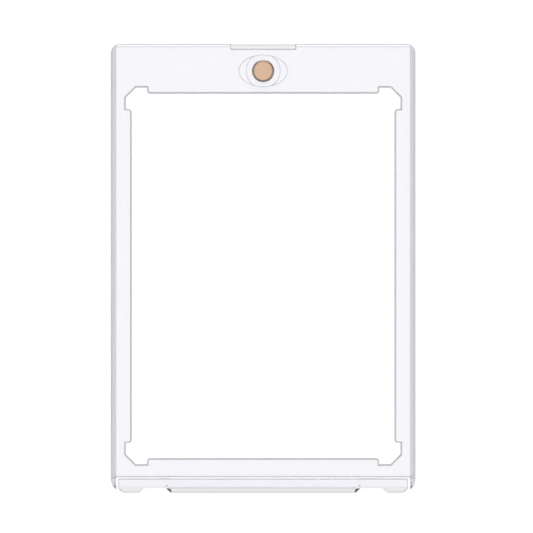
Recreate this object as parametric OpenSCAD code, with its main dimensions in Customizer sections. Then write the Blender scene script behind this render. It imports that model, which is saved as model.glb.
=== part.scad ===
// Clear holder for one trading card, lying on its back: two moulded shells and two magnets.
// X runs across the holder, Y towards its top edge and Z out through the front cover.
// The cover's tongue hooks under a rail at the bottom end, and the magnets hold its top end down.

/* [Card] */
// Width of the card
card_w = 63.5; // [55:0.5:70]
// Height of the card
card_h = 88.9; // [80:0.1:96]
// Thickness of the card
card_t = 0.9; // [0.3:0.1:1.4]
// Free space beside each long edge of the card
card_side_gap = 1.25; // [0.6:0.05:2]
// Free space at each short edge of the card
card_end_gap = 1.3; // [0.6:0.05:2]
// Free space over the face of the card
card_face_gap = 0.3; // [0.1:0.05:0.5]

/* [Shells] */
// Thickness of the back shell
back_t = 3; // [2.6:0.1:5]
// Thickness of the front cover
cover_t = 3; // [2.8:0.1:4]
// Width of the frame beside the card recess
side_band = 5; // [4.4:0.1:8]
// Height of the frame above the card recess
top_band = 12.1; // [11.5:0.1:18]
// Height of the frame between the card recess and the cover's lower end
bottom_band = 4.35; // [3:0.05:8]
// Radius of the two top corners
top_corner_r = 2.2; // [0.5:0.1:4]
// Radius of the two bottom corners
bottom_corner_r = 3.6; // [3:0.1:5]
// Width of the bevel along each long side
side_bevel_w = 1.3; // [0.5:0.05:1.8]
// Depth of the bevel along each long side
side_bevel_d = 1; // [0.4:0.1:1.5]
// Width of the bevel along the top and bottom ends
end_bevel_w = 0.7; // [0.2:0.05:1]
// Depth of the bevel along the top and bottom ends
end_bevel_d = 0.4; // [0.2:0.05:1]

/* [Recess corners] */
// How far a corner relief reaches past the edge of the recess
relief_out = 1.5; // [0.6:0.1:2.4]
// How far a corner relief runs along the edge from the recess corner
relief_run = 4.2; // [2:0.1:8]
// Length cut off both sides of a relief's outer corner
relief_cut = 2.6; // [1:0.1:3]
// Rounding where a relief meets the edge of the recess
relief_round = 0.6; // [0.2:0.1:1]

/* [Hook rail] */
// Thickness of the rail, along Y
rail_w = 2.3; // [2:0.1:4]
// Gap between the rail and the cover's lower end
rail_gap = 0.5; // [0.4:0.05:1]
// Width of each cover ear beside the rail
ear_w = 1.3; // [1:0.05:2.5]
// Gap between an ear and the end of the rail
ear_gap = 0.6; // [0.2:0.05:0.8]
// Clearance of the ears and the tongue over the back shell as the cover tilts
roll_gap = 0.05; // [0.05:0.05:0.3]
// Width of the tongue
tongue_w = 46; // [20:0.5:50]
// Thickness of the tongue
tongue_t = 0.95; // [0.7:0.05:1.1]
// Clearance over the tongue and past its tip
tongue_gap = 0.1; // [0.05:0.05:0.3]
// Clearance at each end of the tongue
tongue_side_gap = 0.3; // [0.1:0.05:1]
// Thickness of the rail's lip over the tongue
rail_lip_t = 1.1; // [0.8:0.05:1.3]
// Width of the bevel along the rail's outer edge
rail_bevel = 0.4; // [0.1:0.05:0.5]

/* [Feet] */
// How far the feet stand out from the rail
foot_h = 1.15; // [0.5:0.05:3]
// Step from the front face down to the feet
foot_step = 0.7; // [0.5:0.1:0.9]
// Wall at each end of the tongue's slot, which the middle foot covers
slot_end_wall = 1.1; // [0.6:0.1:2]
// Width of each outer foot at the rail
outer_foot_w = 6.3; // [3:0.1:8]
// Slant of the foot ends, along X
foot_slant = 1.2; // [0:0.1:1.6]
// Width and depth of the bevel under each end of the middle foot
foot_undercut = 0.6; // [0.2:0.1:1.2]
// Length cut off the outer corners of the rail
rail_corner_cut = 1; // [0.2:0.05:1.5]

/* [Magnets] */
// Diameter of each magnet
magnet_d = 5.5; // [4:0.5:6]
// Thickness of each magnet
magnet_t = 1.9; // [1.7:0.05:2]
// Radius of the magnet's edges
magnet_edge_r = 0.8; // [0.1:0.1:0.9]
// Radial clearance of a magnet in its pocket
magnet_side_gap = 0.05; // [0.02:0.01:0.1]
// Depth of each magnet below the faces that meet
magnet_sink = 0.1; // [0.05:0.05:0.2]
// Distance from the holder's top edge to the magnet's centre
magnet_inset = 6.7; // [6.4:0.1:7.2]

/* [Front details] */
// Width of the oval dish over the magnet
dish_w = 12.1; // [10:0.1:14]
// Height of the oval dish
dish_h = 7.9; // [7:0.1:9]
// Depth of the oval dish
dish_depth = 0.3; // [0.15:0.05:0.5]
// Width of the round boss in the dish
boss_d = 8.5; // [6:0.1:9]
// Height of the boss above the dish's floor
boss_h = 0.15; // [0.05:0.05:0.3]
// Width of the fingernail notch in the cover's top edge
notch_w = 16; // [8:0.5:30]
// Depth of the fingernail notch
notch_d = 1.2; // [0.5:0.1:1.4]

/* [Hidden] */
$fn = 96;
// How far a cut runs past the surface that it opens
over = 0.5;

// The recess holds the card with its free space
recess_w = card_w + 2 * card_side_gap;
recess_h = card_h + 2 * card_end_gap;
recess_d = card_t + card_face_gap;

// The shells follow from the recess and the frame round it
holder_w = recess_w + 2 * side_band;
holder_h = top_band + recess_h + bottom_band + rail_gap + rail_w + foot_h;
holder_t = back_t + cover_t;
y_top = holder_h / 2;
y_feet = -y_top;
y_rail_out = y_feet + foot_h;
y_rail_in = y_rail_out + rail_w;
y_cover_end = y_rail_in + rail_gap;
y_recess = y_cover_end + bottom_band + recess_h / 2;

// The rail lies between the ears, and the cover turns about a line in the gap beside it
ear_inner_x = holder_w / 2 - ear_w;
rail_len = 2 * (ear_inner_x - ear_gap);
y_pivot = y_rail_in + rail_gap / 2;
z_pivot = holder_t;
roll_r = cover_t - roll_gap;

// The tongue lies under the rail's lip, and reaches as far as it can and still roll over the back shell
z_lip = holder_t - rail_lip_t;
tip_r = tongue_t / 2;
z_tip = z_lip - tongue_gap - tip_r;
y_tip = y_pivot - sqrt((roll_r - tip_r) ^ 2 - (z_pivot - z_tip) ^ 2);

// The slot clears the tongue, and the middle foot covers the slot
slot_w = tongue_w + 2 * tongue_side_gap;
y_slot = y_tip - tip_r - tongue_gap;
middle_foot_w = slot_w + 2 * slot_end_wall;
foot_t = holder_t - foot_step;

magnet_y = y_top - magnet_inset;
pocket_d = magnet_d + 2 * magnet_side_gap;
pocket_depth = magnet_t + magnet_sink;

// A profile drawn in Y and Z, run along X
module along_x(length) {
    rotate([90, 0, 90]) linear_extrude(length, center = true) children();
}

// A profile drawn in X and Z, run along Y
module along_y(length) {
    rotate([90, 0, 0]) linear_extrude(length, center = true) children();
}

module both_sides() {
    children();
    mirror([1, 0, 0]) children();
}

module both_ends() {
    children();
    mirror([0, 1, 0]) children();
}

// The sliver between a square corner at the origin and its rounding
module corner_sliver(r) {
    difference() {
        translate([-over, -over]) square(r + over);
        translate([r, r]) circle(r);
    }
}

// The gap between the middle foot and one outer foot, wider at its mouth
module foot_gap() {
    inner = middle_foot_w / 2;
    outer = rail_len / 2 - outer_foot_w;
    spread = foot_slant * (foot_h + over) / foot_h;
    polygon([
        [inner, y_rail_out],
        [outer, y_rail_out],
        [outer + spread, y_feet - over],
        [inner - spread, y_feet - over],
    ]);
}

// Front view of the closed holder
module holder_outline() {
    difference() {
        translate([-holder_w / 2, y_feet]) square([holder_w, holder_h]);
        both_sides() {
            translate([-holder_w / 2, y_feet]) corner_sliver(bottom_corner_r);
            translate([-holder_w / 2, y_top]) mirror([0, 1, 0]) corner_sliver(top_corner_r);
            foot_gap();
        }
    }
}

// One shell before its cuts, flat below and bevelled round its outer face:
// the front view, the cross-section and the side view, each run through the others
module shell_blank(t) {
    half_w = holder_w / 2;
    intersection() {
        linear_extrude(t) holder_outline();
        along_y(holder_h + 2 * over) polygon([
            [-half_w, 0],
            [half_w, 0],
            [half_w, t - side_bevel_d],
            [half_w - side_bevel_w, t],
            [side_bevel_w - half_w, t],
            [-half_w, t - side_bevel_d],
        ]);
        along_x(holder_w + 2 * over) polygon([
            [y_feet, 0],
            [y_top, 0],
            [y_top, t - end_bevel_d],
            [y_top - end_bevel_w, t],
            [y_feet + end_bevel_w, t],
            [y_feet, t - end_bevel_d],
        ]);
    }
}

// One corner relief, in the corner where X and Y are both positive
module corner_relief() {
    corner = [recess_w / 2, recess_h / 2];
    inner = -relief_run;
    outer = relief_out;
    translate(corner) {
        polygon([
            [inner, inner],
            [outer, inner],
            [outer, outer - relief_cut],
            [outer - relief_cut, outer],
            [inner, outer],
        ]);
        translate([0, inner]) mirror([0, 1, 0]) corner_sliver(relief_round);
        translate([inner, 0]) mirror([1, 0, 0]) corner_sliver(relief_round);
    }
}

// Front view of the recess, which is relieved at its corners so that nothing presses on the card's
module recess_outline() {
    square([recess_w, recess_h], center = true);
    both_sides() both_ends() corner_relief();
}

// Front view of the rail with its feet
module rail_outline() {
    half = rail_len / 2;
    intersection() {
        holder_outline();
        polygon([
            [-half, y_rail_in],
            [-half, y_feet + rail_corner_cut],
            [rail_corner_cut - half, y_feet],
            [half - rail_corner_cut, y_feet],
            [half, y_feet + rail_corner_cut],
            [half, y_rail_in],
        ]);
    }
}

// The rail stands on the back shell, with its lip over the slot for the tongue
module rail() {
    root = back_t - over;
    difference() {
        union() {
            along_x(rail_len) polygon([
                [y_rail_in, root],
                [y_rail_in, holder_t],
                [y_rail_out + rail_bevel, holder_t],
                [y_rail_out, holder_t - rail_bevel],
                [y_rail_out, root],
            ]);
            translate([0, 0, root]) linear_extrude(foot_t - root) rail_outline();
        }
        translate([-slot_w / 2, y_slot, back_t]) cube([slot_w, y_rail_in - y_slot + over, z_lip - back_t]);
    }
}

// What comes off under one end of the middle foot
module foot_end_cut() {
    edge_len = norm([foot_slant, foot_h]);
    reach = foot_undercut + over;
    translate([middle_foot_w / 2 - foot_slant, y_feet, 0])
        rotate([0, 0, atan2(foot_h, foot_slant)])
            along_x(2 * edge_len + over) polygon([[-over, -over], [reach, -over], [-over, reach]]);
}

// The tongue has a round tip, and its root runs into the cover
module tongue() {
    along_x(tongue_w) {
        translate([y_tip, z_tip - tip_r]) square([y_cover_end + over - y_tip, tongue_t]);
        translate([y_tip, z_tip]) circle(tip_r);
    }
}

// Room for the rail between the ears
module rail_room() {
    translate([-ear_inner_x, y_feet - over, back_t - over])
        cube([2 * ear_inner_x, y_cover_end - y_feet + over, cover_t + 2 * over]);
}

// What the ears lose past the pivot line, so that they roll over the back shell
module ear_rolling_room() {
    along_x(holder_w + 2 * over) difference() {
        translate([y_feet - over, back_t - over]) square([y_pivot - y_feet + over, cover_t + 2 * over]);
        translate([y_pivot, z_pivot]) circle(roll_r);
    }
}

// A shallow oval with a low round boss in it
module magnet_dish() {
    translate([0, magnet_y, holder_t - dish_depth]) difference() {
        scale([dish_w / dish_h, 1, 1]) cylinder(h = dish_depth + over, d = dish_h);
        translate([0, 0, -over]) cylinder(h = boss_h + over, d = boss_d);
    }
}

module nail_notch() {
    translate([-notch_w / 2, y_top - notch_d, back_t - over])
        cube([notch_w, notch_d + over, cover_t + 2 * over]);
}

module back_shell() {
    color("lavender", 0.6) difference() {
        union() {
            translate([0, 0, back_t]) mirror([0, 0, 1]) shell_blank(back_t);
            rail();
        }
        translate([0, y_recess, back_t - recess_d]) linear_extrude(recess_d + over) recess_outline();
        translate([0, magnet_y, back_t - pocket_depth]) cylinder(h = pocket_depth + over, d = pocket_d);
        both_sides() foot_end_cut();
    }
}

module front_cover() {
    color("aliceblue", 0.6) {
        difference() {
            translate([0, 0, back_t]) shell_blank(cover_t);
            rail_room();
            ear_rolling_room();
            magnet_dish();
            nail_notch();
            translate([0, magnet_y, back_t - over]) cylinder(h = pocket_depth + over, d = pocket_d);
        }
        tongue();
    }
}

// A plated disc with rounded edges, standing on the plane z = 0
module magnet() {
    rim_r = magnet_d / 2 - magnet_edge_r;
    color("darkgoldenrod") rotate_extrude() {
        square([rim_r, magnet_t]);
        translate([0, magnet_edge_r]) square([magnet_d / 2, magnet_t - 2 * magnet_edge_r]);
        for (z = [magnet_edge_r, magnet_t - magnet_edge_r])
            translate([rim_r, z]) circle(magnet_edge_r);
    }
}

module back_magnet() {
    translate([0, magnet_y, back_t - pocket_depth]) magnet();
}

module cover_magnet() {
    translate([0, magnet_y, back_t + magnet_sink]) magnet();
}

back_shell();
front_cover();
back_magnet();
cover_magnet();
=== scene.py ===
"""Clear magnetic card holder: two moulded shells, closed over each other, with plated magnets in them."""

import math

import bmesh
import bpy
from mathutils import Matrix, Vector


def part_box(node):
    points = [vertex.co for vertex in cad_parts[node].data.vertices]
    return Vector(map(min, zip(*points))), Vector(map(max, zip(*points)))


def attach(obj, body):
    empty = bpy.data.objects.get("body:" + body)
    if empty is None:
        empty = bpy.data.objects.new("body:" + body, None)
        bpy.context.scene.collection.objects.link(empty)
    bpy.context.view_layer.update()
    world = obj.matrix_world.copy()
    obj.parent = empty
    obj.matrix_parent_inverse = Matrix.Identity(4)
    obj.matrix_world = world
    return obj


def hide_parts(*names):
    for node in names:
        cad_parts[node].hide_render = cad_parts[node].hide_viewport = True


MM = 0.001

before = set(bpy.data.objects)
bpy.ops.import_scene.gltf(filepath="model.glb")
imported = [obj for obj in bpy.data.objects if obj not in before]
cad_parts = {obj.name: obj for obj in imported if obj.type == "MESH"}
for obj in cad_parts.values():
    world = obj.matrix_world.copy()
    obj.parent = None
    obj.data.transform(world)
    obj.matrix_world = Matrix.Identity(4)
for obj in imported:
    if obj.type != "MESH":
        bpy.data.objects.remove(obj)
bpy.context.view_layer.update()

# The photograph: its side in pixels, its scale, and the pixel on which the holder is centred
PHOTO_SIDE = 533
PIXELS_PER_MM = 4.0
HOLDER_CENTRE_PX = (263.15, 268.35)

# The camera: a lens so long that the view is nearly parallel, and the width of its sensor, in mm
LENS_LENGTH = 300
SENSOR_WIDTH = 36

# The overhead softbox: its brightness, where 1 is white, its sides, and its place
SOFTBOX_LEVEL = 1.1
SOFTBOX_SIDES = (2.4, 4.1)
SOFTBOX_PLACE = (0, 0.95, 1.4)

# The studio around it, as a linear colour
STUDIO_GREY = (0.35, 0.35, 0.36, 1.0)

# The table: half its side, and how far it lies under the holder
TABLE_REACH = 4
TABLE_GAP = 0.05 * MM
# Its reflectance, from its darkest cloud to its lightest, and the clouds' size
TABLE_WHITES = (0.79, 0.81)
TABLE_CLOUD = 25 * MM
# Its own glow where it is seen, and how much of the light that falls on it shows there
TABLE_GLOW = 1.1
TABLE_LIT_SHARE = 0.2

# The width of the mottle on the magnets' plating
MOTTLE_WIDTH = 0.6 * MM

# From the frame: the holder's outer faces, the plane on which its shells meet, and its magnets' middle
SIDE_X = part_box("back_shell")[1].x
LOWER_END_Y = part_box("back_shell")[0].y
UPPER_END_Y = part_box("back_shell")[1].y
BACK_FACE_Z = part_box("back_shell")[0].z
FRONT_FACE_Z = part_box("front_cover")[1].z
MATING_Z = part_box("front_cover")[0].z
MAGNET_Y = (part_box("cover_magnet")[0].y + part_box("cover_magnet")[1].y) / 2

# The middle of the cover's thickness, which parts its front from its back
COVER_MIDDLE_Z = (MATING_Z + FRONT_FACE_Z) / 2

# From the lower end upwards: the feet, the rail, and the gap between it and the cover
RAIL_OUTER_Y = LOWER_END_Y + 1.15 * MM
RAIL_INNER_Y = RAIL_OUTER_Y + 2.3 * MM
COVER_END_Y = RAIL_INNER_Y + 0.5 * MM

# The rail's bevel, the underside of its lip, and half the width of the slot under it
RAIL_BEVEL = 0.4 * MM
LIP_Z = FRONT_FACE_Z - 1.1 * MM
SLOT_HALF_W = 23.3 * MM

# The front of the feet, and the top of their slanted undersides
FEET_FRONT_Z = FRONT_FACE_Z - 0.7 * MM
FEET_UNDERSIDE_Z = BACK_FACE_Z + 1.2 * MM

# The creases where the bevels begin, along the long sides and across the top end, and the end bevel's depth
SIDE_CREASE_X = SIDE_X - 1.3 * MM
END_CREASE_Y = UPPER_END_Y - 0.7 * MM
END_BEVEL_DEPTH = 0.4 * MM

# The recess: the frame beside, above and below it, its depth, and how far its corner reliefs reach out
SIDE_BAND = 5 * MM
TOP_BAND = 12.1 * MM
BOTTOM_BAND = 4.35 * MM
RECESS_DEPTH = 1.2 * MM
RELIEF_REACH = 1.5 * MM

# The oval dish over the magnet
DISH_HALF_W = 6.05 * MM
DISH_HALF_H = 3.95 * MM
DISH_DEPTH = 0.3 * MM

# The fingernail notch in the cover's top end
NOTCH_HALF_W = 8 * MM
NOTCH_FLOOR_Y = UPPER_END_Y - 1.2 * MM

# Points this close are one point
MERGED = 0.001 * MM
# What is this close counts as being in the same place
NEAR = 0.01 * MM
# The room that a box leaves round the edges that it holds
ROOM = 0.1 * MM
# Thin air gap between the closed shells, so that light meets two faces there and not one
AIR_GAP = 0.03 * MM

# Edge radii, and the segments that each rounding has
OUTER_EDGE = (0.15 * MM, 3)
RECESS_EDGE = (0.21 * MM, 4)
NOTCH_EDGE = (0.22 * MM, 5)
DISH_EDGE = (0.05 * MM, 2)
MAGNET_EDGE = (0.8 * MM, 8)
MAGNET_SIDES = 96

# Faces that meet at less than this are one flat face
FLAT_ANGLE = math.radians(0.6)
# Edges that turn by less than this are part of a curve
CREASE_ANGLE = math.radians(20)
# Edges that turn by more than this are rounded
ROUNDED_ANGLE = math.radians(40)
# A magnet's rims turn by more than this
RIM_ANGLE = math.radians(80)

# How much of a face's normal points along an axis, where 1 is all of it. The least for a flat face:
SQUARE = 0.999
# The least and the most for the bevel of a long side
SIDE_BEVEL_LEANS = (0.3, 0.95)
# The least for the rounding of the top crease
CREASE_LEAN = 0.8
# The least for the rail's bevel and the flat faces beside it
RAIL_LEAN = 0.68
# The most, along the holder, for a rounding that runs beside the bevel of a long side
SLIGHT_TURN = 0.2
# The least for a face that is turned to an axis at all
LEAST_LEAN = 0.1
# The most that counts as none
NO_LEAN = 0.01

# The weighted normals' greatest weight, with which large flat faces look flat
GREATEST_WEIGHT = 100

# Places of the six finishes in each shell's list of materials
POLISHED, SATIN, MATT, GROUND_WITH_PAINTED_SHADE, PAINTED_EDGE_SHADE, FROSTED = range(6)


def span(start, end, room=ROOM):
    """The range from start to end, with a little room at both."""
    return start - room, end + room


# Each box below holds the edges of one feature, as ranges of x, y and z. It has a mirror image on the left.

# The recess with its corner reliefs
RECESS_BOX = (
    span(0, SIDE_X - SIDE_BAND + RELIEF_REACH),
    span(COVER_END_Y + BOTTOM_BAND - RELIEF_REACH, UPPER_END_Y - TOP_BAND + RELIEF_REACH),
    span(MATING_Z - RECESS_DEPTH, MATING_Z),
)
# The dish and its boss
DISH_BOX = (
    span(0, DISH_HALF_W),
    span(MAGNET_Y - DISH_HALF_H, MAGNET_Y + DISH_HALF_H),
    span(FRONT_FACE_Z - DISH_DEPTH, FRONT_FACE_Z),
)
# The tongue, and its slot under the rail's lip
SLOT_BOX = span(0, SLOT_HALF_W), span(RAIL_OUTER_Y, COVER_END_Y), span(MATING_Z, LIP_Z)
# The undersides of the feet
FEET_BOX = span(0, SIDE_CREASE_X), span(LOWER_END_Y, RAIL_INNER_Y), span(BACK_FACE_Z, FEET_UNDERSIDE_Z)
# The plane on which the shells part, all round
PARTING_BOX = span(0, SIDE_X), span(LOWER_END_Y, UPPER_END_Y), span(MATING_Z, MATING_Z)
# The notch
NOTCH_BOX = (
    span(0, NOTCH_HALF_W),
    span(NOTCH_FLOOR_Y, UPPER_END_Y, ROOM / 2),
    span(MATING_Z, FRONT_FACE_Z),
)
# The notch's inner corners
NOTCH_CORNER_BOX = (
    span(NOTCH_HALF_W, NOTCH_HALF_W),
    span(NOTCH_FLOOR_Y, NOTCH_FLOOR_Y, ROOM / 2),
    span(MATING_Z, FRONT_FACE_Z),
)
# The shallow crease on each side of the notch
TOP_CREASE_BOX = (
    span(NOTCH_HALF_W, SIDE_CREASE_X),
    span(END_CREASE_Y, END_CREASE_Y),
    span(FRONT_FACE_Z, FRONT_FACE_Z),
)
# The back shell's end bevel
BACK_END_BOX = (
    span(0, SIDE_X),
    span(END_CREASE_Y, UPPER_END_Y),
    span(BACK_FACE_Z, BACK_FACE_Z + END_BEVEL_DEPTH),
)
# The edge of the back shell's end that the notch lays open
OPEN_EDGE_BOX = span(0, NOTCH_HALF_W), span(UPPER_END_Y, UPPER_END_Y), span(MATING_Z, MATING_Z)


def linear(hex_colour):
    """Linear RGBA for an sRGB colour written as six hex digits."""
    channels = [int(hex_colour[i : i + 2], 16) / 255 for i in (0, 2, 4)]
    return tuple(c / 12.92 if c <= 0.04045 else ((c + 0.055) / 1.055) ** 2.4 for c in channels) + (1.0,)


def new_material(name):
    """An empty node material, its tree and its output."""
    material = bpy.data.materials.new(name)
    material.use_nodes = True
    tree = material.node_tree
    tree.nodes.clear()
    return material, tree, add_node(tree, "OutputMaterial")


def add_node(tree, kind, settings=None, **links):
    """Adds one shader node.

    settings sets its options by name and its sockets by index or label, and links feeds its sockets.
    """
    node = tree.nodes.new("ShaderNode" + kind)
    for key, value in (settings or {}).items():
        if hasattr(node, str(key)):
            setattr(node, key, value)
        else:
            node.inputs[key].default_value = value
    for label, source in links.items():
        key = int(label[1:]) if label[0] == "_" else label.replace("_", " ")
        tree.links.new(source, node.inputs[key])
    return node


def clear_plastic(name, tint, roughness, grain_mm, height_mm, clearness=1.0):
    """Clear moulded polystyrene, whose surface has what the steel of its mould left on it.

    The steel's own grain is some hundredths of a millimetre wide. It is drawn about five times as coarse,
    because finer grain doesn't show at 4 pixels a millimetre. Lamps shine straight through, as they do in
    thin clear plastic, so that it hardly darkens what it lies on.
    """
    material, tree, output = new_material(name)
    place = add_node(tree, "TexCoord").outputs["Object"]
    grain_settings = {"Scale": 1 / (grain_mm * MM), "Detail": 3.0, "Roughness": 0.5}
    grain = add_node(tree, "TexNoise", grain_settings, Vector=place)
    bump_settings = {"Strength": 1.0, "Distance": height_mm * MM}
    bump = add_node(tree, "Bump", bump_settings, Height=grain.outputs["Fac"])
    plastic_settings = {
        "Base Color": linear(tint),
        "Roughness": roughness,
        "IOR": 1.5,
        "Transmission Weight": clearness,
    }
    plastic = add_node(tree, "BsdfPrincipled", plastic_settings, Normal=bump.outputs["Normal"])
    lamp_light = add_node(tree, "BsdfTransparent", {"Color": linear("f4f4f8")})
    is_shadow = add_node(tree, "LightPath").outputs["Is Shadow Ray"]
    surface = add_node(
        tree, "MixShader", None, _0=is_shadow, _1=plastic.outputs[0], _2=lamp_light.outputs[0]
    )
    tree.links.new(surface.outputs[0], output.inputs["Surface"])
    return material


def clear_finishes():
    """The six finishes of the shells' plastic, in the order of their places."""
    return [
        # Polished steel leaves it as clear as glass, with slow waves where the melt flowed
        clear_plastic("polished_polystyrene", "fefeff", roughness=0.0, grain_mm=25.0, height_mm=0.002),
        # Satin on the faces of the frame and the rail: a thin grey veil that sets them off from the window
        clear_plastic("satin_polystyrene", "dfdee3", roughness=0.12, grain_mm=0.2, height_mm=0.002),
        # Matt on the feet's front, which looks a little greyer than the rail beside it
        clear_plastic("matt_polystyrene", "d4d4d7", roughness=0.2, grain_mm=0.15, height_mm=0.002),
        # Ground bevels along the long sides: a blurred shine from the grinding, and a grey band that is
        # painted shade, for the darker surroundings that the slanted faces bend into view
        clear_plastic("ground_polystyrene_painted_shade", "c9c9cc", roughness=0.3, grain_mm=0.1, height_mm=0.002),
        # Rounded edges bend most light away from the eye; their thin dark lines are painted shade, a dark
        # grey tint
        clear_plastic("painted_edge_shade_polystyrene", "7a7a7a", roughness=0.05, grain_mm=0.3, height_mm=0.002),
        # Frosted undersides of the ears, which scatter light and look white through the plastic
        clear_plastic(
            "frosted_polystyrene", "fafafb", roughness=0.6, grain_mm=0.1, height_mm=0.005, clearness=0.1
        ),
    ]


def magnet_plating():
    """Gold-coloured plating over nickel: a warm satin metal, faintly mottled.

    The real mottle is about a tenth of a millimetre wide. It is drawn wider, because that is the least that
    shows.
    """
    material, tree, output = new_material("gold_plating")
    place = add_node(tree, "TexCoord").outputs["Object"]
    mottle = add_node(tree, "TexNoise", {"Scale": 1 / MOTTLE_WIDTH, "Detail": 4.0}, Vector=place)
    shades = add_node(tree, "ValToRGB", None, Fac=mottle.outputs["Fac"])
    shades.color_ramp.elements[0].color = linear("b89474")
    shades.color_ramp.elements[1].color = linear("c29e7e")
    rough = add_node(tree, "MapRange", {"To Min": 0.28, "To Max": 0.42}, Value=mottle.outputs["Fac"])
    metal = add_node(
        tree,
        "BsdfPrincipled",
        {"Metallic": 1.0},
        Base_Color=shades.outputs["Color"],
        Roughness=rough.outputs["Result"],
    )
    tree.links.new(metal.outputs[0], output.inputs["Surface"])
    return material


def white_table():
    """Matt white board with faint clouds.

    What the camera, a mirror or clear plastic sees of it is mostly its own white, and it keeps the shadow.
    """
    material, tree, output = new_material("white_table")
    place = add_node(tree, "TexCoord").outputs["Object"]
    clouds = add_node(tree, "TexNoise", {"Scale": 1 / TABLE_CLOUD}, Vector=place)
    white_settings = {"To Min": TABLE_WHITES[0], "To Max": TABLE_WHITES[1]}
    white = add_node(tree, "MapRange", white_settings, Value=clouds.outputs["Fac"])
    matt = add_node(tree, "BsdfDiffuse", None, Color=white.outputs["Result"])
    glow = add_node(tree, "Emission", {"Color": linear("ffffff"), "Strength": TABLE_GLOW})
    shown = add_node(tree, "MixShader", {0: TABLE_LIT_SHARE}, _1=glow.outputs[0], _2=matt.outputs[0])
    path = add_node(tree, "LightPath")
    seen = path.outputs["Is Camera Ray"]
    for ray in ("Is Glossy Ray", "Is Transmission Ray"):
        seen = add_node(tree, "Math", {"operation": "MAXIMUM"}, _0=seen, _1=path.outputs[ray]).outputs[0]
    surface = add_node(tree, "MixShader", None, _0=seen, _1=matt.outputs[0], _2=shown.outputs[0])
    tree.links.new(surface.outputs[0], output.inputs["Surface"])
    return material


def merged_copy(node_name):
    """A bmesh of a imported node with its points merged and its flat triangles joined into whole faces.

    It is cut along the middle first, so that a flat face round an opening is two simple halves.
    """
    bm = bmesh.new()
    bm.from_mesh(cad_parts[node_name].data)
    bmesh.ops.remove_doubles(bm, verts=bm.verts, dist=MERGED)
    everything = list(bm.verts) + list(bm.edges) + list(bm.faces)
    cut = bmesh.ops.bisect_plane(bm, geom=everything, dist=NEAR, plane_co=(0, 0, 0), plane_no=(1, 0, 0))
    for element in cut["geom_cut"]:
        if isinstance(element, bmesh.types.BMEdge):
            element.seam = True
    bmesh.ops.dissolve_limit(
        bm, angle_limit=FLAT_ANGLE, verts=bm.verts, edges=bm.edges, delimit={"SEAM"}
    )
    return bm


def inside(edge, box):
    """True if both ends of an edge lie in a box or in its mirror image."""
    ends = [(abs(vert.co.x), vert.co.y, vert.co.z) for vert in edge.verts]
    return all(low <= value <= high for end in ends for value, (low, high) in zip(end, box))


def edges_to_round(bm, *left_sharp):
    """The edges that are rounded.

    Edges in the boxes left_sharp, and shallow creases other than the cover's top one, are marked as sharp.
    """
    rounded = []
    for edge in bm.edges:
        if len(edge.link_faces) != 2 or edge.calc_face_angle() < CREASE_ANGLE:
            continue
        shallow = edge.calc_face_angle() < ROUNDED_ANGLE and not inside(edge, TOP_CREASE_BOX)
        if shallow or any(inside(edge, box) for box in left_sharp):
            edge.smooth = False
        else:
            rounded.append(edge)
    return rounded


def round_edges(bm, edges, radius, segments):
    """Rounds edges and returns the new faces."""
    return bmesh.ops.bevel(
        bm,
        geom=edges,
        offset=radius,
        offset_type="OFFSET",
        affect="EDGES",
        segments=segments,
        profile=0.5,
        material=-1,
        clamp_overlap=False,
    )["faces"]


def set_finish(faces, finish):
    """Gives faces a finish."""
    for face in faces:
        face.material_index = finish


def cut_faces(bm, faces, place, normal):
    """Cuts faces along the plane through place, where one finish or rounding ends and the next begins."""
    pieces = set(faces)
    for face in faces:
        pieces.update(face.edges, face.verts)
    bmesh.ops.bisect_plane(bm, geom=list(pieces), dist=NEAR, plane_co=place, plane_no=normal)


def long_bevels(bm):
    """The bevels along both long sides, which don't turn to the ends."""
    least, most = SIDE_BEVEL_LEANS
    return [f for f in bm.faces if least < abs(f.normal.x) < most and abs(f.normal.y) < NO_LEAN]


def mating_faces(bm):
    """The back shell's flat faces that lie against the cover."""
    return [f for f in bm.faces if f.normal.z > SQUARE and abs(f.calc_center_median().z - MATING_Z) < NEAR]


def upper_end_faces(bm):
    """The upright faces of the top end."""
    return [f for f in bm.faces if f.normal.y > SQUARE and f.calc_center_median().y > UPPER_END_Y - NEAR]


def at_side(middle):
    """True on a long side: on its bevel, and on the crease where that begins."""
    return abs(middle.x) > SIDE_CREASE_X - ROOM


def finish_sides(bm):
    """Gives the long bevels their ground finish, whose grey is painted shade, as far as the ears.

    An ear is polished on its front, and frosted underneath.
    """
    cut_faces(bm, long_bevels(bm), (0, RAIL_INNER_Y, 0), (0, 1, 0))
    set_finish((f for f in long_bevels(bm) if f.calc_center_median().y > RAIL_INNER_Y), GROUND_WITH_PAINTED_SHADE)
    for face in bm.faces:
        middle = face.calc_center_median()
        if at_side(middle) and middle.z > MATING_Z and face.normal.z < -NO_LEAN:
            face.material_index = FROSTED


def finish_front_roundings(faces):
    """Gives roundings their finish.

    Those that face the front are edges, painted dark grey as shade, or as dull as what they run along: a
    side bevel, whose grey is painted shade too, the rail, or the top end's crease. Those further back, or
    turned to the back, are polished.
    """
    for face in faces:
        middle = face.calc_center_median()
        normal = face.normal
        beside_bevel = at_side(middle) and abs(normal.y) < SLIGHT_TURN
        on_rail_bevel = -2 * ROOM < middle.y - RAIL_OUTER_Y < RAIL_BEVEL + 2 * ROOM
        along_rail = on_rail_bevel and abs(normal.x) < LEAST_LEAN
        on_crease = abs(middle.y - END_CREASE_Y) < OUTER_EDGE[0] + ROOM and normal.z > CREASE_LEAN
        if middle.z < COVER_MIDDLE_Z or normal.z < LEAST_LEAN:
            face.material_index = POLISHED
        elif on_crease or along_rail and normal.z > RAIL_LEAN:
            face.material_index = SATIN
        elif beside_bevel or along_rail:
            face.material_index = GROUND_WITH_PAINTED_SHADE
        else:
            face.material_index = PAINTED_EDGE_SHADE


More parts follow.
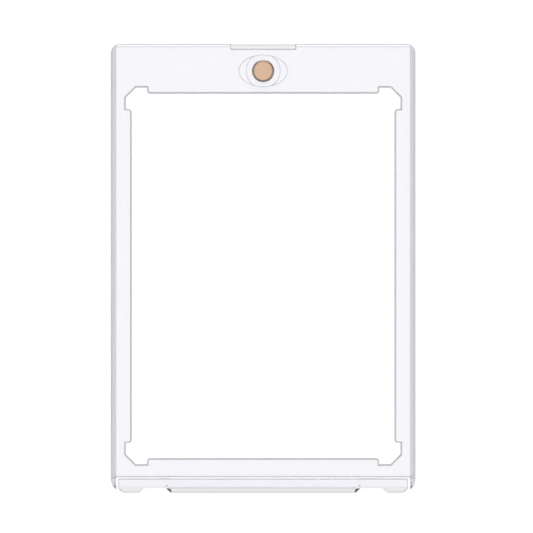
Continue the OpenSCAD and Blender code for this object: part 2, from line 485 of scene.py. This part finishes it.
def finish_piece(bm, name, body, materials, replaced):
    """Makes an object of a bmesh, smooth across its rounded edges and flat on its flat faces."""
    mesh = bpy.data.meshes.new(name)
    bm.to_mesh(mesh)
    bm.free()
    for material in materials:
        mesh.materials.append(material)
    mesh.shade_smooth()
    piece = bpy.data.objects.new(name, mesh)
    bpy.context.scene.collection.objects.link(piece)
    flat_faces = piece.modifiers.new("flat_faces", "WEIGHTED_NORMAL")
    flat_faces.weight = GREATEST_WEIGHT
    flat_faces.keep_sharp = True
    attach(piece, body)
    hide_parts(replaced)


def height(edge):
    """How far one end of an edge lies over the other."""
    return abs(edge.verts[0].co.z - edge.verts[1].co.z)


def make_front_cover(finishes):
    """The front cover: its notch is rounded first, other than its corners, then the dish, then the rest."""
    bm = merged_copy("front_cover")
    finish_sides(bm)
    notch = [e for e in edges_to_round(bm, PARTING_BOX) if inside(e, NOTCH_BOX)]
    notch = [e for e in notch if height(e) < END_BEVEL_DEPTH + ROOM]
    # The roundings of the notch and the dish get the edge finish, whose dark grey is painted shade
    set_finish(round_edges(bm, notch, *NOTCH_EDGE), PAINTED_EDGE_SHADE)
    edges = edges_to_round(bm, SLOT_BOX, PARTING_BOX, NOTCH_CORNER_BOX)
    dish = [e for e in edges if inside(e, DISH_BOX)]
    outer = [e for e in edges if not inside(e, DISH_BOX)]
    set_finish(round_edges(bm, dish, *DISH_EDGE), PAINTED_EDGE_SHADE)
    finish_front_roundings(round_edges(bm, outer, *OUTER_EDGE))
    for vert in bm.verts:
        vert.co.z = min(max(vert.co.z, MATING_Z + AIR_GAP), FRONT_FACE_Z)
    finish_piece(bm, "cover_shell", "cover", finishes, "front_cover")


def make_back_shell(finishes):
    """The back shell: its recess is rounded first, then the edge that the notch lays open, then the rest.

    Its face against the cover, its rail and its feet get their finishes before that.
    """
    bm = merged_copy("back_shell")
    finish_sides(bm)
    cut_faces(bm, mating_faces(bm), (0, RAIL_INNER_Y, 0), (0, 1, 0))
    for x in (-NOTCH_HALF_W, NOTCH_HALF_W):
        cut_faces(bm, upper_end_faces(bm) + mating_faces(bm), (x, 0, 0), (1, 0, 0))
    set_finish((f for f in mating_faces(bm) if f.calc_center_median().y > RAIL_INNER_Y), SATIN)
    for face in bm.faces:
        middle = face.calc_center_median()
        if face.normal.z > RAIL_LEAN and middle.z > FRONT_FACE_Z - RAIL_BEVEL - ROOM:
            face.material_index = SATIN
        elif face.normal.z > SQUARE and middle.z > FEET_FRONT_Z - ROOM:
            face.material_index = MATT
    recess = [e for e in edges_to_round(bm) if inside(e, RECESS_BOX)]
    # The roundings of the recess and of the open edge get the edge finish, whose dark grey is painted shade
    set_finish(round_edges(bm, recess, *RECESS_EDGE), PAINTED_EDGE_SHADE)
    open_edge = [e for e in edges_to_round(bm) if inside(e, OPEN_EDGE_BOX)]
    set_finish(round_edges(bm, open_edge, *OUTER_EDGE), PAINTED_EDGE_SHADE)
    outer = edges_to_round(bm, SLOT_BOX, FEET_BOX, PARTING_BOX, BACK_END_BOX)
    outer = [e for e in outer if not inside(e, RECESS_BOX)]
    finish_front_roundings(round_edges(bm, outer, *OUTER_EDGE))
    finish_piece(bm, "base_shell", "base", finishes, "back_shell")


def make_magnet(node_name, body, plating):
    """A round disc with rounded rims, which leaves the air gap over and under it."""
    low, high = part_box(node_name)
    low.z += AIR_GAP
    high.z -= AIR_GAP
    centre = (low + high) / 2
    corners = [(centre.x, low.z), (high.x, low.z), (high.x, high.z), (centre.x, high.z)]
    bm = bmesh.new()
    section = [bm.verts.new((x, centre.y, z)) for x, z in corners]
    edges = [bm.edges.new(pair) for pair in zip(section, section[1:])]
    bmesh.ops.spin(
        bm,
        geom=section + edges,
        cent=centre,
        axis=(0, 0, 1),
        angle=math.tau,
        steps=MAGNET_SIDES,
        use_merge=True,
    )
    bmesh.ops.remove_doubles(bm, verts=bm.verts, dist=MERGED)
    bmesh.ops.recalc_face_normals(bm, faces=bm.faces)
    rims = [e for e in bm.edges if e.calc_face_angle() > RIM_ANGLE]
    round_edges(bm, rims, *MAGNET_EDGE)
    finish_piece(bm, node_name + "_disc", body, [plating], node_name)


def make_table():
    """A plain white table top under the holder."""
    bm = bmesh.new()
    bmesh.ops.create_grid(bm, x_segments=1, y_segments=1, size=TABLE_REACH)
    bmesh.ops.translate(bm, verts=bm.verts, vec=(0, 0, BACK_FACE_Z - TABLE_GAP))
    mesh = bpy.data.meshes.new("table_top")
    bm.to_mesh(mesh)
    bm.free()
    mesh.materials.append(white_table())
    table = bpy.data.objects.new("table_top", mesh)
    bpy.context.scene.collection.objects.link(table)


def make_light():
    """A large softbox overhead, in a dimmer studio."""
    world = bpy.data.worlds.new("studio")
    bpy.context.scene.world = world
    world.use_nodes = True
    background = world.node_tree.nodes["Background"]
    background.inputs["Color"].default_value = STUDIO_GREY
    background.inputs["Strength"].default_value = 1.0
    lamp = bpy.data.lights.new("overhead_softbox", "AREA")
    lamp.shape = "RECTANGLE"
    lamp.size = SOFTBOX_SIDES[0]
    lamp.size_y = SOFTBOX_SIDES[1]
    lamp.energy = SOFTBOX_LEVEL * math.pi * lamp.size * lamp.size_y
    softbox = bpy.data.objects.new("overhead_softbox", lamp)
    softbox.location = SOFTBOX_PLACE
    bpy.context.scene.collection.objects.link(softbox)


def make_camera():
    """A long lens straight above the holder, framed as the photograph is."""
    lens = bpy.data.cameras.new("camera")
    lens.lens = LENS_LENGTH
    lens.sensor_width = SENSOR_WIDTH
    seen_width = PHOTO_SIDE / PIXELS_PER_MM * MM
    x = (PHOTO_SIDE / 2 - HOLDER_CENTRE_PX[0]) / PIXELS_PER_MM * MM
    y = (HOLDER_CENTRE_PX[1] - PHOTO_SIDE / 2) / PIXELS_PER_MM * MM
    camera = bpy.data.objects.new("camera", lens)
    camera.location = (x, y, MATING_Z + seen_width * LENS_LENGTH / SENSOR_WIDTH)
    bpy.context.scene.collection.objects.link(camera)
    bpy.context.scene.camera = camera


bpy.context.scene.view_settings.view_transform = "Standard"
make_camera()
make_table()
make_light()

shell_finishes = clear_finishes()
make_front_cover(shell_finishes)
make_back_shell(shell_finishes)

gold = magnet_plating()
make_magnet("cover_magnet", "cover", gold)
make_magnet("back_magnet", "base", gold)
